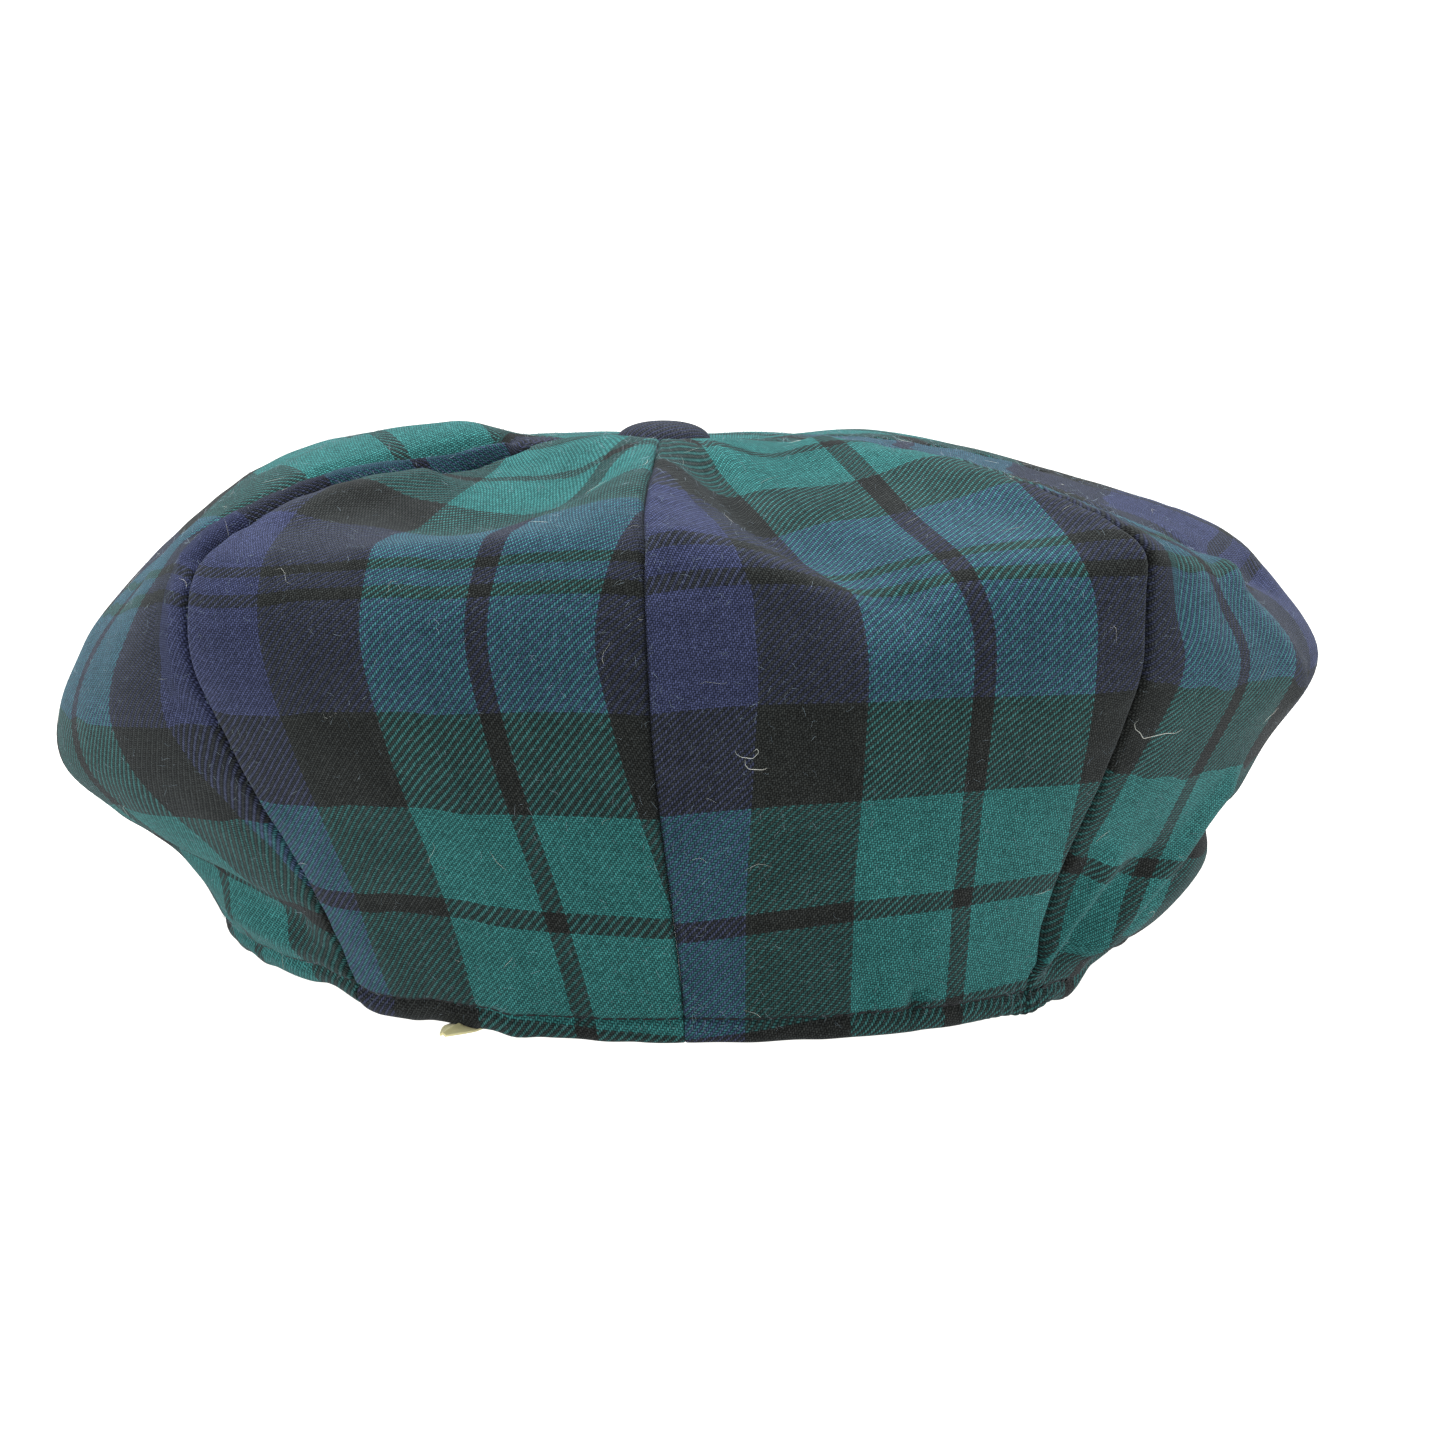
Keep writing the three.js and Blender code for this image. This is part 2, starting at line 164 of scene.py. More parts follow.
# The tartan's threads across one repeat, from the middle of the narrow black line
SETT = [
    ("black", 1.9), ("green", 20), ("black", 20.5), ("navy", 22.5), ("black", 3.8), ("navy", 4.5),
    ("black", 3.8), ("navy", 22.5), ("black", 20.5), ("green", 20), ("black", 1.9),
]
DYES = {"black": "#232524", "green": "#2a5e5d", "navy": "#30354f"}
THREAD_PITCH = 0.41
BRUSHING = (0.22, 0.78)  # how much of a yarn's colour shows where it lies below, and on top


# Smooth rise from 0 to 1 between two values
def step(x, low, high):
    t = np.clip((np.asarray(x, float) - low) / (high - low), 0, 1)
    return t * t * (3 - 2 * t)


# A bell-shaped bump round one value
def bell(x, middle, half_width):
    return np.exp(-(((x - middle) / half_width) ** 2))


# An angle between -180 and 180
def turned(angle):
    return (np.asarray(angle, float) + 180) % 360 - 180


# A smooth curve through a ring of values, one for each section
def around_crown(values, angle):
    values = np.asarray(values, float)
    place = np.asarray(angle, float) / SECTION_ANGLE
    i = np.floor(place).astype(int)
    f = place - i
    a, b, c, d = (values[(i + k) % len(values)] for k in (-1, 0, 1, 2))
    return b + 0.5 * f * (c - a + f * (2 * a - 5 * b + 4 * c - d + f * (3 * (b - c) + d - a)))


def hem_lift(angle):
    side = turned(angle)
    rise = np.where(side > 0, step(side, *RIGHT_STEP), step(-side, *LEFT_STEP))
    off_lining = np.abs(turned(np.asarray(angle, float) - LINING_ANGLE)) / ARCH_HALF_ANGLE
    return (
        SIDE_LIFT * rise
        + (FRONT_LIFT - SIDE_LIFT) * step(np.abs(side), *FRONT_STEP)
        + ARCH_LIFT * (1 - step(off_lining, 0.5, 1))
    )


def hem_radius(angle):
    return around_crown([s["hem"] for s in SECTIONS], angle)


# The curve up the crown at one angle, as close points with their lengths from the hem
def meridian(angle):
    spots = [(hem_radius(angle), hem_lift(angle))]
    spots += [[around_crown([s[name][k] for s in SECTIONS], angle) for k in (0, 1)] for name in STATIONS]
    spots += [(GATHER_RADIUS, GATHER_HEIGHT + GATHER_TILT * math.cos(math.radians(angle)))]
    spots += [(SEAT_RADIUS, SEAT_HEIGHT), (SEAT_HOLE, SEAT_HEIGHT)]
    spots = np.array(spots, float)
    spots = np.vstack([2 * spots[0] - spots[1], spots, 2 * spots[-1] - spots[-2]])
    f = np.linspace(0, 1, MERIDIAN_STEPS)[:, None]
    line = [spots[1][None]]
    for p0, p1, p2, p3 in zip(spots, spots[1:], spots[2:], spots[3:]):
        d0, d1, d2 = (math.sqrt(math.dist(a, b)) for a, b in ((p0, p1), (p1, p2), (p2, p3)))
        t1 = ((p1 - p0) / d0 - (p2 - p0) / (d0 + d1) + (p2 - p1) / d1) * d1
        t2 = ((p2 - p1) / d1 - (p3 - p1) / (d1 + d2) + (p3 - p2) / d2) * d1
        curve = p1 + f * (t1 + f * (3 * (p2 - p1) - 2 * t1 - t2 + f * (2 * (p1 - p2) + t1 + t2)))
        line.append(curve[1:])
    line = np.vstack(line)
    lengths = np.concatenate([[0], np.cumsum(np.linalg.norm(np.diff(line, axis=0), axis=1))])
    return line, lengths


# Places on the crown before it is folded, at one angle
def smooth_points(angle, share):
    line, lengths = meridian(angle)
    at = np.clip(share, 0, 1) * lengths[-1]
    radius = np.interp(at, lengths, line[:, 0])
    height = np.interp(at, lengths, line[:, 1])
    swing = around_crown([s["swing"] for s in SECTIONS], angle)
    turn = np.radians(angle + swing * step(share, *SWING_RISE) * (1 - step(share, *SWING_FADE)))
    return np.stack([-radius * np.sin(turn) + LEAN * height / SEAT_HEIGHT, radius * np.cos(turn), height], -1)


def fold_spine(start, end):
    spots = []
    for f in np.linspace(0, 1, FOLD_STEPS + 1):
        angle, share = ((1 - f) * start[k] + f * end[k] for k in (0, 1))
        spots.append(smooth_points(angle, np.array([share]))[0])
    return spots


SPINES = [(fold_spine(start, end), half_widths, heights) for _, start, end, half_widths, heights in FOLDS]


def fold_height(points):
    total = np.zeros(points.shape[:-1])
    for spots, half_widths, heights in SPINES:
        nearest = np.full(total.shape, np.inf)
        share = np.zeros(total.shape)
        for i, (a, b) in enumerate(zip(spots, spots[1:])):
            along = np.clip((points - a) @ (b - a) / ((b - a) @ (b - a)), 0, 1)
            away = ((points - a - along[..., None] * (b - a)) ** 2).sum(-1)
            share = np.where(away < nearest, (i + along) / FOLD_STEPS, share)
            nearest = np.minimum(nearest, away)
        half_width, height = (low + (high - low) * share for low, high in (half_widths, heights))
        total += height * np.exp(-nearest / half_width**2)
    return total


# Outward normals of a sheet of points, as columns of rows
def sheet_normals(points):
    normal = np.cross(np.gradient(points, axis=0), np.gradient(points, axis=1))
    return normal / np.linalg.norm(normal, axis=-1, keepdims=True)


def lengths_along(points, axis):
    steps = np.linalg.norm(np.diff(points, axis=axis), axis=-1)
    start = np.zeros_like(np.take(steps, [0], axis=axis))
    return np.concatenate([start, np.cumsum(steps, axis=axis)], axis=axis)


# Slow swells of the cloth, the same on every run
def swell(points, size):
    flat = points.reshape(-1, 3) / size
    return np.array([noise.noise(Vector(p)) for p in flat]).reshape(points.shape[:-1])


# One panel's smooth and folded surface, with how free each point is to move away from the hem and the button
def panel_surface(angles):
    low = [np.arange(HEM_TURN, FINE_ROWS["to"], FINE_ROWS["step"])]
    low = np.concatenate(low + [np.arange(FINE_ROWS["to"], NEXT_ROWS["to"], NEXT_ROWS["step"])])
    points, shares = [], []
    for angle in angles:
        length = meridian(angle)[1][-1]
        rows = np.concatenate([low, low[-1] + (length - low[-1]) * np.linspace(0, 1, CROWN_ROWS + 1)[1:]])
        shares.append(rows / length)
        points.append(smooth_points(angle, shares[-1]))
    points, shares = np.array(points), np.array(shares)
    free = step(shares, 0, FOLD_FREE[0]) * (1 - step(shares, FOLD_FREE[1], 1))
    return points + sheet_normals(points) * (fold_height(points) * free)[..., None], free


# The cloth dips towards each seam, puckers along it and rolls under at its edge.
def seam_shape(u, v, row):
    width = row[-1]
    seam = np.minimum(row, width - row)
    room = np.clip(width / SEAM_ROOM["width"], SEAM_ROOM["least"], 1)
    out = -SEAM_PUFF["depth"] * room * np.exp(-seam / SEAM_PUFF["reach"]) * step(v, 0, HEM_CLEAR)
    wave = 2 * math.pi * v / SEAM_PUCKER["pitch"] + PUCKER_DRIFT["turn"] * np.sin(v / PUCKER_DRIFT["size"])
    wave = np.sin(wave + np.where(u < 0, 0, PUCKER_DRIFT["last_seam"])) * step(seam, 0, SEAM_PUCKER["edge"])
    out += SEAM_PUCKER["height"] * room * wave * np.exp(-seam / SEAM_PUCKER["reach"])
    flattened = SEAM_ROLL["at_hem"] + (1 - SEAM_ROLL["at_hem"]) * step(v, SEAM_ROLL["hem"], HEM_CLEAR)
    roll = SEAM_ROLL["radius"] * room * flattened
    edge = np.clip(1 - seam / roll, 0, 1)
    return out - roll * (1 - np.sqrt(1 - edge**2))


# The hem is pulled in along its stitches, gathered on one side and dented.
def hem_shape(points, angles, u, v):
    out = HEM_BEAD["height"] * bell(v, HEM_BEAD["at"], HEM_BEAD["half_width"])
    out -= STITCH_PULL["depth"] * bell(v, STITCH_LINE, STITCH_PULL["half_width"])
    rumple = swell(points * [1, 1, 0.25] + 40, HEM_RUMPLE["size"])
    out += HEM_RUMPLE["height"] * rumple * bell(v, HEM_RUMPLE["at"], HEM_RUMPLE["half_width"])
    gathered = bell(turned(angles - HEM_GATHER["angle"]), 0, HEM_GATHER["half_angle"])[:, None]
    crimp = np.sin(2 * math.pi * u / HEM_GATHER["pitch"] + np.sin(u / 2))
    out += HEM_GATHER["height"] * gathered * crimp * bell(v, HEM_GATHER["at"], HEM_GATHER["half_width"])
    for angle, half_angle, height, half_height, depth in HEM_DENTS:
        out -= depth * bell(turned(angles - angle), 0, half_angle)[:, None] * bell(v, height, half_height)
    return out


# One panel's outer face as columns of rows, with its place on the cloth
def panel_face(first_angle):
    s = np.linspace(-1, 1, PANEL_COLUMNS + 1)
    across = 0.5 + 0.5 * (COLUMN_EVENNESS * s + (1 - COLUMN_EVENNESS) * np.sin(s * math.pi / 2))
    angles = first_angle + PANEL_ANGLE * np.concatenate([[-BESIDE], across, [1 + BESIDE]])
    points, free = panel_surface(angles)
    normal = sheet_normals(points)[1:-1]
    points, free, angles = points[1:-1], free[1:-1], angles[1:-1]
    v = lengths_along(points, 1) + HEM_TURN
    row = lengths_along(points, 0)
    u = row - row[PANEL_COLUMNS // 2]
    out = seam_shape(u, v, row) + hem_shape(points, angles, u, v)
    for height, size, shift in SWELLS:
        out += free * height * swell(points + shift, size)
    face = points + normal * out[..., None]
    waver = swell(points * [1, 1, 0], HEM_WAVER["size"]) * np.exp(-v / HEM_WAVER["reach"])
    face[..., 2] += HEM_WAVER["height"] * waver
    return face, normal, u, v


# The face continued round the hem's fold and up inside, as rows from the inside to the button
def panel_rows(first_angle):
    face, normal, u, v = panel_face(first_angle)
    low_v = v[0]
    inside = [int(np.argmin(np.abs(low_v - h))) for h in HEM_INSIDE]
    rows = [face[:, k] - 2 * HEM_TURN * normal[:, k] for k in inside]
    places = [(u[:, k], 2 * HEM_TURN - HEM_TURN * math.pi - v[:, k]) for k in inside]
    down = face[:, 0] - face[:, 1]
    down /= np.linalg.norm(down, axis=-1, keepdims=True)
    centre = face[:, 0] - HEM_TURN * normal[:, 0]
    for turn in np.linspace(math.pi, 0, HEM_TURN_ROWS + 2)[1:-1]:
        rows.append(centre + HEM_TURN * (normal[:, 0] * math.cos(turn) + down * math.sin(turn)))
        places.append((u[:, 0], v[:, 0] - HEM_TURN * turn))
    sheet = np.concatenate([np.stack(rows, 1), face], axis=1)
    sheet[..., 2] = np.maximum(sheet[..., 2], 0)
    u = np.concatenate([np.stack([p[0] for p in places], 1), u], axis=1)
    v = np.concatenate([np.stack([p[1] for p in places], 1), v], axis=1)
    return sheet, u, v


# Everything off, so that the next operator touches only the new piece
def start_piece():
    if bpy.context.mode != "OBJECT":
        bpy.ops.object.mode_set(mode="OBJECT")
    bpy.ops.object.select_all(action="DESELECT")


# A piece's points, a row for each
def points_of(piece):
    flat = np.empty(len(piece.data.vertices) * 3)
    piece.data.vertices.foreach_get("co", flat)
    return flat.reshape(-1, 3)


# The points moved, as by sculpting, to places in millimetres
def move_points(piece, places):
    piece.data.vertices.foreach_set("co", (places * MM).ravel())
    piece.data.update()


# Where each point lies on the flat cloth, as the piece's own UV map
def lay_on_cloth(piece, places):
    corner = np.empty(len(piece.data.loops), int)
    piece.data.loops.foreach_get("vertex_index", corner)
    layer = piece.data.uv_layers[0]
    layer.name = "cloth"
    layer.data.foreach_set("uv", (places[corner] * MM).ravel())


# A flat grid of cloth moved to its shape, with u across it and v along it
def cloth_grid(name, points, u, v):
    columns, rows = points.shape[0] - 1, points.shape[1] - 1
    start_piece()
    bpy.ops.mesh.primitive_grid_add(x_subdivisions=columns, y_subdivisions=rows, size=2)
    piece = bpy.context.active_object
    piece.name = name
    flat = points_of(piece)
    c = np.rint((flat[:, 0] + 1) / 2 * columns).astype(int)
    r = np.rint((flat[:, 1] + 1) / 2 * rows).astype(int)
    move_points(piece, points[c, r])
    lay_on_cloth(piece, np.stack([u[c, r], v[c, r]], -1))
    return piece


def apply_modifier(piece, kind, **settings):
    modifier = piece.modifiers.new(kind.lower(), kind)
    for name, value in settings.items():
        setattr(modifier, name, value)
    bpy.context.view_layer.objects.active = piece
    bpy.ops.object.modifier_apply(modifier=modifier.name)


def finish_piece(piece, slot, *materials):
    for material in materials:
        piece.data.materials.append(material)
    start_piece()
    piece.select_set(True)
    bpy.context.view_layer.objects.active = piece
    bpy.ops.object.shade_smooth_by_angle(angle=math.radians(55))
    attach(piece, "root")
    return piece


# Copies of one small shape in one piece, and the points of each
def copies_of(piece, count):
    apply_modifier(piece, "ARRAY", count=count, use_relative_offset=False)
    return points_of(piece).reshape(count, -1, 3)


# A ball of radius 1, to be drawn out into a stitch, a fibre or a button
def ball(name, sides, rings):
    start_piece()
    bpy.ops.mesh.primitive_uv_sphere_add(segments=sides, ring_count=rings, radius=1)
    piece = bpy.context.active_object
    piece.name = name
    return piece


# sRGB hex to the linear colour that a socket takes
def dye(code):
    parts = [int(code[k:k + 2], 16) / 255 for k in (1, 3, 5)]
    return (*[p / 12.92 if p <= 0.04045 else ((p + 0.055) / 1.055) ** 2.4 for p in parts], 1)


# A node with its settings, and its inputs set to values or linked from other nodes
def add(tree, kind, inputs=None, **settings):
    node = tree.nodes.new("ShaderNode" + kind)
    for name, value in settings.items():
        setattr(node, name, value)
    for socket, source in (inputs or {}).items():
        if isinstance(source, bpy.types.NodeSocket):
            tree.links.new(source, node.inputs[socket])
        else:
            node.inputs[socket].default_value = source
    return node


def new_material(name):
    material = bpy.data.materials.new(name)
    material.use_nodes = True
    material.node_tree.nodes.clear()
    return material, material.node_tree


# Which yarn of a two-over-two twill lies on top, and how high it stands along its float and across its width
def twill_weave(t, yarns, whole):
    turn = add(t, "Math", {0: whole[0], 1: whole[1]}, operation="SUBTRACT").outputs[0]
    turn = add(t, "Math", {0: turn, 1: 4.0}, operation="FLOORED_MODULO").outputs[0]
    warp_up = add(t, "Math", {0: turn, 1: 1.5}, operation="LESS_THAN").outputs[0]
    tops = []
    for k, start, end, shift in ((0, whole[0], yarns[1], 1.0), (1, yarns[0], whole[1], 2.0)):
        along = add(t, "Math", {0: start, 1: end}, operation="SUBTRACT").outputs[0]
        along = add(t, "Math", {0: along, 1: shift}, operation="ADD").outputs[0]
        along = add(t, "Math", {0: along, 1: 4.0}, operation="FLOORED_MODULO").outputs[0]
        along = add(t, "Math", {0: along, 1: math.pi / 2}, operation="MULTIPLY").outputs[0]
        along = add(t, "Math", {0: along}, operation="SINE").outputs[0]
        side = add(t, "Math", {0: yarns[k]}, operation="FRACT").outputs[0]
        side = add(t, "Math", {0: side, 1: math.pi}, operation="MULTIPLY").outputs[0]
        side = add(t, "Math", {0: side}, operation="SINE").outputs[0]
        tops.append(add(t, "Math", {0: along, 1: side}, operation="MULTIPLY").outputs[0])
    high = add(t, "Mix", {0: warp_up, 2: tops[1], 3: tops[0]}, data_type="FLOAT").outputs[0]
    return warp_up, high


# Each yarn's colour from its place in the repeat. Brushing drags some of each colour over the other, and the
# darker one tells more.
def tartan_colour(t, whole, warp_up):
    repeat = sum(width for _, width in SETT)
    parts = []
    for k, shares in enumerate((BRUSHING, BRUSHING[::-1])):
        place = add(t, "Math", {0: whole[k], 1: THREAD_PITCH / repeat}, operation="MULTIPLY").outputs[0]
        place = add(t, "Math", {0: place}, operation="FRACT").outputs[0]
        bands = add(t, "ValToRGB", {0: place})
        ramp = bands.color_ramp
        ramp.interpolation = "CONSTANT"
        start = 0
        for i, (name, width) in enumerate(SETT):
            stop = ramp.elements[i] if i < 2 else ramp.elements.new(start / repeat)
            stop.position = start / repeat
            stop.color = dye(DYES[name])
            start += width
        shade = add(t, "TexWhiteNoise", {"W": whole[k]}, noise_dimensions="1D").outputs["Value"]
        shade = add(t, "MapRange", {0: shade, 3: 0.86, 4: 1.14}).outputs[0]
        colour = add(t, "VectorMath", {0: bands.outputs[0], "Scale": shade}, operation="SCALE").outputs[0]
        share = add(t, "MapRange", {0: warp_up, 3: shares[0], 4: shares[1]}).outputs[0]
        parts.append(add(t, "Gamma", {0: colour, 1: share}).outputs[0])
    return add(t, "VectorMath", {0: parts[0], 1: parts[1]}, operation="MULTIPLY").outputs[0]


# Wool twill, woven two over two from dyed yarn and lightly brushed: square bands of colour that mix where
# they cross, fine slanting ribs, and a soft bloom of loose fibre that catches light along the folds.
def wool_twill():
    material, t = new_material("brushed_wool_twill_tartan")
    cloth = add(t, "UVMap", uv_map="cloth").outputs[0]
    stray = add(t, "TexNoise", {"Vector": cloth, "Scale": 1 / (1.6 * MM), "Detail": 1}).outputs["Color"]
    stray = add(t, "VectorMath", {0: stray, 1: (0.5, 0.5, 0.5)}, operation="SUBTRACT").outputs[0]
    stray = add(t, "VectorMath", {0: stray, "Scale": 0.16 * MM}, operation="SCALE").outputs[0]
    place = add(t, "VectorMath", {0: cloth, 1: stray}, operation="ADD").outputs[0]
    place = add(t, "VectorMath", {0: place, "Scale": 1 / (THREAD_PITCH * MM)}, operation="SCALE").outputs[0]
    yarns = add(t, "SeparateXYZ", {0: place}).outputs
    whole = add(t, "VectorMath", {0: place}, operation="FLOOR").outputs[0]
    whole = add(t, "SeparateXYZ", {0: whole}).outputs
    warp_up, high = twill_weave(t, yarns, whole)
    colour = tartan_colour(t, whole, warp_up)

    # Painted shade in the gaps between the yarns and on the weft ribs, uneven yarn, worn patches, and pale
    # loose fibres that also paint a highlight on the fuzz
    # Painted shade: weft ribs darker, warp ribs lighter
    rib_shade = add(t, "MapRange", {0: warp_up, 3: 0.9, 4: 1.1}).outputs[0]
    cell = add(t, "CombineXYZ", {0: whole[0], 1: whole[1]}).outputs[0]
    grain = add(t, "TexWhiteNoise", {"Vector": cell}, noise_dimensions="2D").outputs["Value"]
    grain = add(t, "MapRange", {0: grain, 3: 0.7, 4: 1.3}).outputs[0]
    patch = add(t, "TexNoise", {"Vector": cloth, "Scale": 1 / (14 * MM), "Detail": 3}).outputs[0]
    patch = add(t, "MapRange", {0: patch, 1: 0.3, 2: 0.7, 3: 0.9, 4: 1.1}).outputs[0]
    # Painted shade: each yarn darkens into the gaps beside it and lightens on its crown
    depth = add(t, "MapRange", {0: high, 2: 0.9, 3: 0.2, 4: 1.5}).outputs[0]
    for share in (rib_shade, grain, patch):
        depth = add(t, "Math", {0: depth, 1: share}, operation="MULTIPLY").outputs[0]
    colour = add(t, "VectorMath", {0: colour, "Scale": depth}, operation="SCALE").outputs[0]
    # Pale loose fibres, partly real and partly a painted highlight on the fuzz
    fibre_and_highlight = {"Vector": cloth, "Scale": 1 / (0.5 * MM), "Detail": 4, "Roughness": 0.7}
    fibre_and_highlight = add(t, "TexNoise", fibre_and_highlight).outputs[0]
    fibre_and_highlight = add(t, "MapRange", {0: fibre_and_highlight, 1: 0.58, 2: 0.8, 3: 0.0, 4: 0.22}).outputs[0]
    colour = add(t, "Mix", {0: fibre_and_highlight, 6: colour, 7: dye("#8d9aa0")}, data_type="RGBA").outputs[2]

    bump = add(t, "Bump", {"Height": high, "Strength": 0.7, "Distance": 0.14 * MM}).outputs[0]
    shader = add(t, "BsdfPrincipled", {
        "Base Color": colour, "Roughness": 0.95, "Specular IOR Level": 0.06, "IOR": 1.45, "Normal": bump,
        "Sheen Weight": 0.1, "Sheen Roughness": 0.4, "Sheen Tint": dye("#ccd6e2"),
    }).outputs[0]
    add(t, "OutputMaterial", {0: shader})
    return material


# Viscose lining, a smooth thin plain weave dyed pale yellow, its colour darkened as painted shade for the
# scrap under the hem: even colour, a low silky gloss, faint threads.
def viscose_lining():
    material, t = new_material("pale_yellow_viscose_lining")
    place = add(t, "TexCoord").outputs["Object"]
    weave = {"Vector": place, "Scale": 1 / (0.45 * MM), "Randomness": 0.35}
    weave = add(t, "TexVoronoi", weave).outputs["Distance"]
    patch = add(t, "TexNoise", {"Vector": place, "Scale": 1 / (6 * MM), "Detail": 3}).outputs[0]
    patch = add(t, "MapRange", {0: patch, 1: 0.3, 2: 0.7}).outputs[0]
    # Painted shade: both yellows are darker than the lining itself, for the shade under the hem
    colour = add(t, "Mix", {0: patch, 6: dye("#b9b17c"), 7: dye("#cbc595")}, data_type="RGBA").outputs[2]
    bump = add(t, "Bump", {"Height": weave, "Strength": 0.35, "Distance": 0.08 * MM}).outputs[0]
    shader = add(t, "BsdfPrincipled", {
        "Base Color": colour, "Roughness": 0.55, "Specular IOR Level": 0.4, "IOR": 1.5, "Normal": bump,
        "Sheen Weight": 0.15, "Sheen Roughness": 0.4,
    }).outputs[0]
    add(t, "OutputMaterial", {0: shader})
    return material


# Spun polyester sewing thread in black, darkened further as painted shade where the stitches sink into the
# hem: a dull thin cord with the twist of its plies.
def sewing_thread():
    material, t = new_material("spun_polyester_thread")
    place = add(t, "TexCoord").outputs["Object"]
    twist = add(t, "TexNoise", {"Vector": place, "Scale": 1 / (0.3 * MM), "Detail": 2}).outputs[0]
    # Painted shade: both colours are darker than the black thread itself, for the shade in the sunk stitch
    # line
    colour = add(t, "Mix", {0: twist, 6: dye("#08090c"), 7: dye("#191b20")}, data_type="RGBA").outputs[2]
    bump = add(t, "Bump", {"Height": twist, "Strength": 0.5, "Distance": 0.06 * MM}).outputs[0]
    shader = add(t, "BsdfPrincipled", {
        "Base Color": colour, "Roughness": 0.7, "Specular IOR Level": 0.3, "IOR": 1.5, "Normal": bump,
    }).outputs[0]
    add(t, "OutputMaterial", {0: shader})
    return material


# Loose fibres: thin and dull, uneven in colour from one to the next.
def loose_fibre(name, dark, pale):
    material, t = new_material(name)
    place = add(t, "TexCoord").outputs["Object"]
    mix = add(t, "TexNoise", {"Vector": place, "Scale": 1 / (9 * MM), "Detail": 2}).outputs[0]
    mix = add(t, "MapRange", {0: mix, 1: 0.35, 2: 0.65}).outputs[0]
    colour = add(t, "Mix", {0: mix, 6: dye(dark), 7: dye(pale)}, data_type="RGBA").outputs[2]
    shader = add(t, "BsdfPrincipled", {
        "Base Color": colour, "Roughness": 0.7, "Specular IOR Level": 0.2, "IOR": 1.5,
        "Sheen Weight": 0.3, "Sheen Roughness": 0.5,
    }).outputs[0]
    add(t, "OutputMaterial", {0: shader})
    return material


# Matt white acrylic lit from below: nearly even, with a faint tooth, and bright enough to drown most shadow.
def white_acrylic():
    material, t = new_material("backlit_white_acrylic")
    place = add(t, "TexCoord").outputs["Object"]
    tooth = add(t, "TexNoise", {"Vector": place, "Scale": 1 / (3 * MM), "Detail": 2}).outputs[0]
    colour = add(t, "Mix", {0: tooth, 6: dye("#7c7c7a"), 7: dye("#80807e")}, data_type="RGBA").outputs[2]
    shader = add(t, "BsdfPrincipled", {
        "Base Color": colour, "Roughness": 0.9, "Specular IOR Level": 0.1, "IOR": 1.5,
        "Emission Color": dye("#fffefb"), "Emission Strength": 1.16,
    }).outputs[0]
    add(t, "OutputMaterial", {0: shader})
    return material


tartan = wool_twill()
lining = viscose_lining()

# The eight panels
faces = {}
for i, panel in enumerate(PANELS):
    sheet, u, v = panel_rows(i * PANEL_ANGLE)
    name = panel["name"]
    faces[name] = sheet
    warp_place = u - panel["warp"] - panel["warp_lean"] * (v - LEAN_FROM)
    pleat = dict(zip(PLEAT_FIELDS, panel["pleat"]))
    from_seam = np.abs(u - u[pleat["seam"]])
    taken_up = step(v, pleat["from"], pleat["from"] + PLEAT_RISE)
    warp_place -= pleat["depth"] * step(from_seam, *PLEAT_EDGE) * taken_up
    weft_lean = panel["weft_lean"] + panel["fan"] * (v - FAN_FROM)
    weft_place = v - panel["weft"] - weft_lean * u + panel["sag"] * (u / SAG_REACH) ** 2
    weft_place += panel["ease"] * (1 - step(v, *EASE_FADE)) + panel["tuck"] * step(v, *TUCK_RISE)
    piece = cloth_grid("cloth_" + name, sheet, warp_place, weft_place)
    apply_modifier(piece, "SOLIDIFY", thickness=CLOTH_THICKNESS * MM, offset=-1)
    finish_piece(piece, "tartan_wool", tartan)
    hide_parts(name)
    spans, middle = u[-1] - u[0], v[PANEL_COLUMNS // 2]
    flat = (float(spans.max()) * MM, float(np.ptp(middle)) * MM)

# The stitches round the hem, sunk into the cloth
STITCH_AHEAD, ROWS_ABOVE = 0.8, 3  # from a stitch to the points that give it its directions
STITCH_ROW = FIRST_OUTER_ROW + int(round((STITCH_LINE - HEM_TURN) / FINE_ROWS["step"]))
ring = np.concatenate([faces[panel["name"]][:-1, STITCH_ROW] for panel in PANELS])
above = np.concatenate([faces[panel["name"]][:-1, STITCH_ROW + ROWS_ABOVE] for panel in PANELS])
ring, above = np.vstack([ring, ring[:1]]), np.vstack([above, above[:1]])
lengths = lengths_along(ring, 0)
stitches = ball("hem_stitching", 8, 6)
half_width = STITCH["width"] / 2
bpy.ops.object.mode_set(mode="EDIT")
bpy.ops.mesh.select_all(action="SELECT")
bpy.ops.transform.resize(value=(STITCH["length"] / 2, half_width, half_width / STITCH["flatness"]))
bpy.ops.object.mode_set(mode="OBJECT")
count = int(lengths[-1] / STITCH["pitch"])
places = np.linspace(0, lengths[-1], count, endpoint=False)
placed = []
for points, at in zip(copies_of(stitches, count), places):
    spot, ahead, top = (
        np.array([np.interp(w, lengths, line[:, k]) for k in range(3)])
        for w, line in ((at, ring), (at + STITCH_AHEAD, ring), (at, above))
    )
    along = ahead - spot
    along /= np.linalg.norm(along)
    out = np.cross(along, top - spot)
    out /= np.linalg.norm(out)
    up = np.cross(out, along)
    lean = math.radians(STITCH["tilt"] + rng.normal(0, STITCH["spread"]))
    length_axis = along * math.cos(lean) + up * math.sin(lean)
    width_axis = up * math.cos(lean) - along * math.sin(lean)
    placed.append(spot + STITCH["proud"] * out + points @ np.stack([length_axis, width_axis, out]))
move_points(stitches, np.concatenate(placed))
finish_piece(stitches, "tartan_wool", sewing_thread())

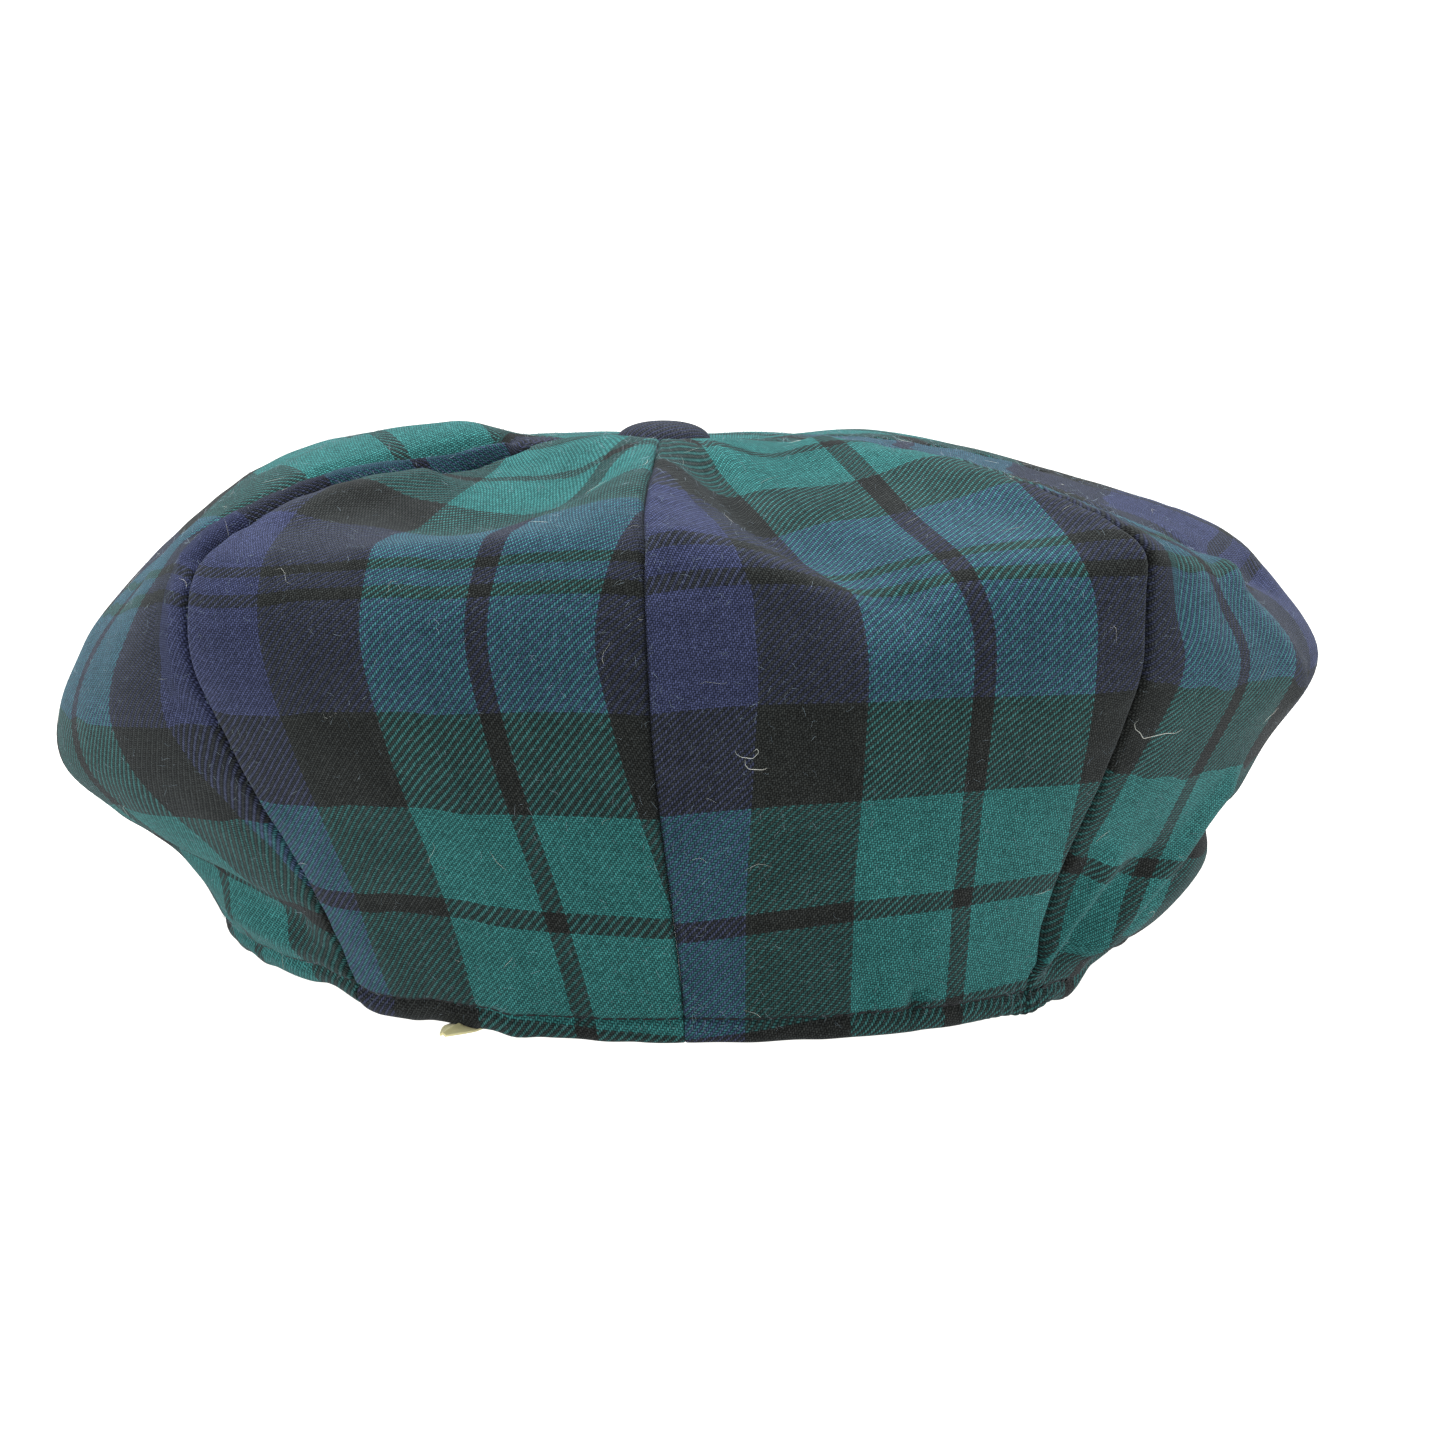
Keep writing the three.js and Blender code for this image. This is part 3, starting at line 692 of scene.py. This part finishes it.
# Loose fibres on the cloth, each a thin spindle bent along its own path: short wool bloom that stands up a
# little all over, and longer pale lint that lies on it
FIBRES = {
    "wool_bloom": {"count": 5200, "length": (0.8, 2.2), "lift": (0.2, 1.1), "curl": 0.25, "radius": 0.022},
    "cloth_lint": {"count": 130, "length": (1.5, 5.5), "lift": (0, 0.4), "curl": 0.9, "radius": 0.026},
}
FIBRE_BEND, FIBRE_CLEAR = (1.2, 3.2), 0.05
EDGE_POINTS = 3  # columns and rows at a panel's edges that fibres keep off
ROWS_UNDER_BUTTON = 14
outer_faces = [faces[panel["name"]][:, FIRST_OUTER_ROW:-ROWS_UNDER_BUTTON] for panel in PANELS]
outer_faces = [(sheet, sheet_normals(sheet)) for sheet in outer_faces]


def lay_fibres(name, material):
    made = FIBRES[name]
    piece = ball(name, 3, 6)
    placed = []
    for i, points in enumerate(copies_of(piece, made["count"])):
        sheet, normal = outer_faces[i % len(PANELS)]
        spot = tuple(rng.integers(EDGE_POINTS, size - EDGE_POINTS) for size in sheet.shape[:2])
        out = normal[spot]
        along = np.cross(out, rng.normal(size=3))
        along /= np.linalg.norm(along)
        side = np.cross(out, along)
        length, lift = rng.uniform(*made["length"]), rng.uniform(*made["lift"])
        curl, bend = rng.normal(0, made["curl"]), rng.uniform(*FIBRE_BEND)
        t = points[:, 2:]
        line = sheet[spot] + t * length / 2 * along + (FIBRE_CLEAR + lift * (t + 1) / 2) * out
        line += curl * np.sin(bend * t + i) * side
        placed.append(line + made["radius"] * (points[:, :1] * side + points[:, 1:2] * out))
    move_points(piece, np.concatenate(placed))
    finish_piece(piece, "tartan_wool", material)


lay_fibres("wool_bloom", loose_fibre("brushed_wool_bloom", "#3c4c58", "#7f929c"))
pale_lint = loose_fibre("pale_cotton_lint", "#8a9490", "#d0cfc6")
lay_fibres("cloth_lint", pale_lint)

# Long curls of lint: the panel, column and row where each lies, then its path as (right, up) from there
CURL_FIELDS = ("panel", "column", "row", "path")
HOOK = [(-1.4, 0.8), (-1.4, 0), (-0.4, -0.7), (1.8, -1), (3, 0.2), (2.7, 1), (1.9, 0.3)]
TAIL = [(0.3, -1.1), (0.3, -2.2), (0.8, -3), (3.5, -3.2), (4.5, -2.8)]
KINK = [(-4.3, 2.1), (-5, 1.2), (-4, -0.1), (-2.4, -0.9), (-0.9, -2.2)]
KINK += [(1.9, -1.5), (4.4, -0.9), (6.6, -0.9), (8.2, 0.1)]
LINT_CURLS = [
    ("panel_back_right", 23, 66, HOOK),
    ("panel_back_right", 23, 66, TAIL),
    ("panel_right_rear", 10, 65, KINK),
]
CURL_RADIUS, CURL_LIFT, CURL_EASE = 0.05, 0.35, 0.2
curls = ball("lint_curls", 6, 60)
placed = []
for points, row in zip(copies_of(curls, len(LINT_CURLS)), LINT_CURLS):
    curl = dict(zip(CURL_FIELDS, row))
    sheet, c, r = faces[curl["panel"]], curl["column"], curl["row"]
    right = sheet[c + 1, r] - sheet[c - 1, r]
    right /= np.linalg.norm(right)
    out = np.cross(right, sheet[c, r + 1] - sheet[c, r - 1])
    out /= np.linalg.norm(out)
    up = np.cross(out, right)
    bends = np.array(curl["path"], float)
    along = lengths_along(bends, 0)
    at = (points[:, 2] + 1) / 2 * along[-1]
    behind, ahead = (
        np.stack([np.interp(w, along, bends[:, k]) for k in (0, 1)], -1)
        for w in (at - CURL_EASE, at + CURL_EASE)
    )
    heading = (ahead - behind) / np.linalg.norm(ahead - behind, axis=-1, keepdims=True)
    aside = np.stack([-heading[:, 1], heading[:, 0]], -1)
    spot = (behind + ahead) / 2 + CURL_RADIUS * points[:, :1] * aside
    line = sheet[c, r] + spot[:, :1] * right + spot[:, 1:] * up
    placed.append(line + (CURL_LIFT + CURL_RADIUS * points[:, 1:2]) * out)
move_points(curls, np.concatenate(placed))
finish_piece(curls, "tartan_wool", pale_lint)

# The covered button: a domed mould with the cloth drawn over it and gathered under its edge
BUTTON_RADIUS, BUTTON_RISE, BUTTON_WAIST, BUTTON_GAP = 9.8, 6, 1.8, 0.3
BUTTON_FULLNESS = 0.85  # below 1 the dome fills out towards its edge
BUTTON_GATHERS = {"count": 18, "drift": 1.5, "depth": 0.03, "from": (-0.35, 0.6)}
BUTTON_CLOTH, CLOTH_SPREAD = (34, 50), 1.1  # where its cloth lies on the tartan, and how far it reaches
button = ball("covered_button", 96, 40)
flat = points_of(button)
level = flat[:, 2]
turn = np.arctan2(flat[:, 1], flat[:, 0])
gather = BUTTON_GATHERS["count"] * turn + BUTTON_GATHERS["drift"] * np.sin(3 * turn)
gather = 0.5 + 0.5 * np.cos(gather)
gather *= step(-level, *BUTTON_GATHERS["from"])
radius = BUTTON_RADIUS * np.hypot(flat[:, 0], flat[:, 1]) ** BUTTON_FULLNESS
radius *= 1 - BUTTON_GATHERS["depth"] * gather
height = BUTTON_WAIST + np.where(level > 0, BUTTON_RISE - BUTTON_WAIST, BUTTON_WAIST) * level
height += SEAT_HEIGHT + BUTTON_GAP
move_points(button, np.stack([radius * np.cos(turn) + LEAN, radius * np.sin(turn), height], -1))
reach = np.arccos(np.clip(level, -1, 1)) / (math.pi / 2) * BUTTON_RADIUS * CLOTH_SPREAD
lay_on_cloth(button, np.stack([reach * np.cos(turn), reach * np.sin(turn)], -1) + BUTTON_CLOTH)
finish_piece(button, "button_wool", tartan)
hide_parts("button")

# The peak: cloth wrapped over a stiff crescent, from its root over the top, round the edge and back below
PEAK_WALL, PEAK_REACH, PEAK_HALF_ANGLE, PEAK_DROP = 3, 58, 62, 0.6
PEAK_TUCKED, PEAK_ROOT, PEAK_GAP = 3, 4, 0.3  # how far its root goes in, its depth at the ends, its gap
PEAK_COLUMNS, PEAK_ROWS, RIM_ROWS = 100, 21, 7
PEAK_CLOTH = 85  # where its cloth starts on the tartan
half = PEAK_WALL / 2
columns = []
for across in np.sin(np.linspace(-math.pi / 2, math.pi / 2, PEAK_COLUMNS + 1)):
    angle = 180 + across * PEAK_HALF_ANGLE
    lift = float(hem_lift(angle))
    root = float(hem_radius(angle)) - PEAK_TUCKED
    depth = PEAK_ROOT + PEAK_REACH * math.sqrt(1 - across**2)
    top = []
    for along in (depth - half) * np.linspace(0, 1, PEAK_ROWS + 1):
        top.append((along, lift - PEAK_GAP - PEAK_DROP * (lift - SIDE_LIFT) * (along / depth) ** 2))
    turns = np.linspace(0, math.pi, RIM_ROWS + 2)[1:-1]
    rim = [(depth - half + half * math.sin(a), top[-1][1] - half + half * math.cos(a)) for a in turns]
    below = [(along, z - PEAK_WALL) for along, z in reversed(top)]
    x, y = -root * math.sin(math.radians(angle)), root * math.cos(math.radians(angle))
    columns.append([(x, y - along, z) for along, z in top + rim + below])
columns = np.array(columns)
wrap = lengths_along(columns, 1)
u = np.broadcast_to(-columns[:, :1, 0], wrap.shape)
v = wrap - columns[:, :1, 1] - PEAK_CLOTH
peak = cloth_grid("cloth_peak", columns[::-1], u[::-1], v[::-1])
bpy.ops.object.mode_set(mode="EDIT")
bpy.ops.mesh.select_mode(type="EDGE")
bpy.ops.mesh.select_all(action="SELECT")
bpy.ops.mesh.region_to_loop()
bpy.ops.mesh.fill_holes(sides=0)
bpy.ops.object.mode_set(mode="OBJECT")
finish_piece(peak, "tartan_wool", tartan)
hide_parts("peak")

# The corner of lining: a creased tongue that comes out under the hem onto the table
LINING_HALF_WIDTH, LINING_SHOWS, LINING_TUCKED, LINING_THICKNESS = 3.6, 6.5, 7, 0.4
LINING_POINT = {"narrowing": 0.85, "power": 1.3}
LINING_CREASE = {"height": 0.9, "half_width": 0.3}
LINING_CROWN = {"height": 0.25, "rise": (-3, 2)}
LINING_CLEAR = 0.45
LINING_COLUMNS, LINING_ROWS = 24, 32
along = np.linspace(-LINING_TUCKED, LINING_SHOWS, LINING_ROWS + 1)
across, along = np.meshgrid(np.linspace(-1, 1, LINING_COLUMNS + 1), along, indexing="ij")
shown = np.clip(along / LINING_SHOWS, 0, 1)
taper = np.where(along < 0, 1, 1 - LINING_POINT["narrowing"] * shown ** LINING_POINT["power"])
x = across * LINING_HALF_WIDTH * taper
z = LINING_CLEAR + LINING_CREASE["height"] * np.exp(-np.abs(across) / LINING_CREASE["half_width"]) * taper
z += LINING_CROWN["height"] * (1 - np.abs(across)) * step(along, *LINING_CROWN["rise"])
radius = float(hem_radius(LINING_ANGLE)) + along
sine, cosine = math.sin(math.radians(LINING_ANGLE)), math.cos(math.radians(LINING_ANGLE))
spots = np.stack([-radius * sine - x * cosine, radius * cosine - x * sine, z], -1)
corner = cloth_grid("lining_scrap", spots, x, along)
apply_modifier(corner, "SOLIDIFY", thickness=LINING_THICKNESS * MM, offset=-1)
finish_piece(corner, "lining_cotton", lining)
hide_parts("lining_corner")

# Camera where the photograph was taken from: behind the cap, a little above it
CAMERA_TARGET, CAMERA_DISTANCE, CAMERA_ABOVE = (-6.6, 0, 47.1), 950, math.radians(9.8)
CAMERA_LENS, CAMERA_SENSOR = 114.5, 36
bpy.ops.object.camera_add()
camera = bpy.context.active_object
camera.data.lens, camera.data.sensor_width = CAMERA_LENS, CAMERA_SENSOR
camera.data.clip_end = 100
away = Vector((0, math.cos(CAMERA_ABOVE), math.sin(CAMERA_ABOVE))) * CAMERA_DISTANCE
camera.location = (Vector(CAMERA_TARGET) + away) * MM
camera.rotation_euler = (math.pi / 2 - CAMERA_ABOVE, 0, math.pi)
bpy.context.scene.camera = camera

# A white table and soft light from all round, brightest from above
TABLE_SIZE, TENT_STRENGTH = 40, 0.62
start_piece()
bpy.ops.mesh.primitive_plane_add(size=TABLE_SIZE)
floor = bpy.context.active_object
floor.name = "table"
floor.data.materials.append(white_acrylic())

world = bpy.data.worlds.new("white_tent")
bpy.context.scene.world = world
world.use_nodes = True
tent = world.node_tree.nodes["Background"]
tent.inputs["Color"].default_value = (1, 1, 1, 1)
tent.inputs["Strength"].default_value = TENT_STRENGTH

# Square lights, one above and one on each side: place and size in metres, power in watts, turn in degrees
LIGHT_FIELDS = ("place", "size", "power", "turn")
LIGHTS = [
    ((0.12, -0.1, 1.3), 1.1, 40, (4, 5, 0)),
    ((-1.2, 0.25, 0.45), 0.9, 14, (0, -72, 0)),
    ((1.2, 0.25, 0.45), 0.9, 14, (0, 72, 0)),
]
for row in LIGHTS:
    light = dict(zip(LIGHT_FIELDS, row))
    bpy.ops.object.light_add(type="AREA", location=light["place"])
    lamp = bpy.context.active_object
    lamp.data.size, lamp.data.energy = light["size"], light["power"]
    lamp.rotation_euler = [math.radians(angle) for angle in light["turn"]]
bpy.context.scene.view_settings.view_transform = "Standard"
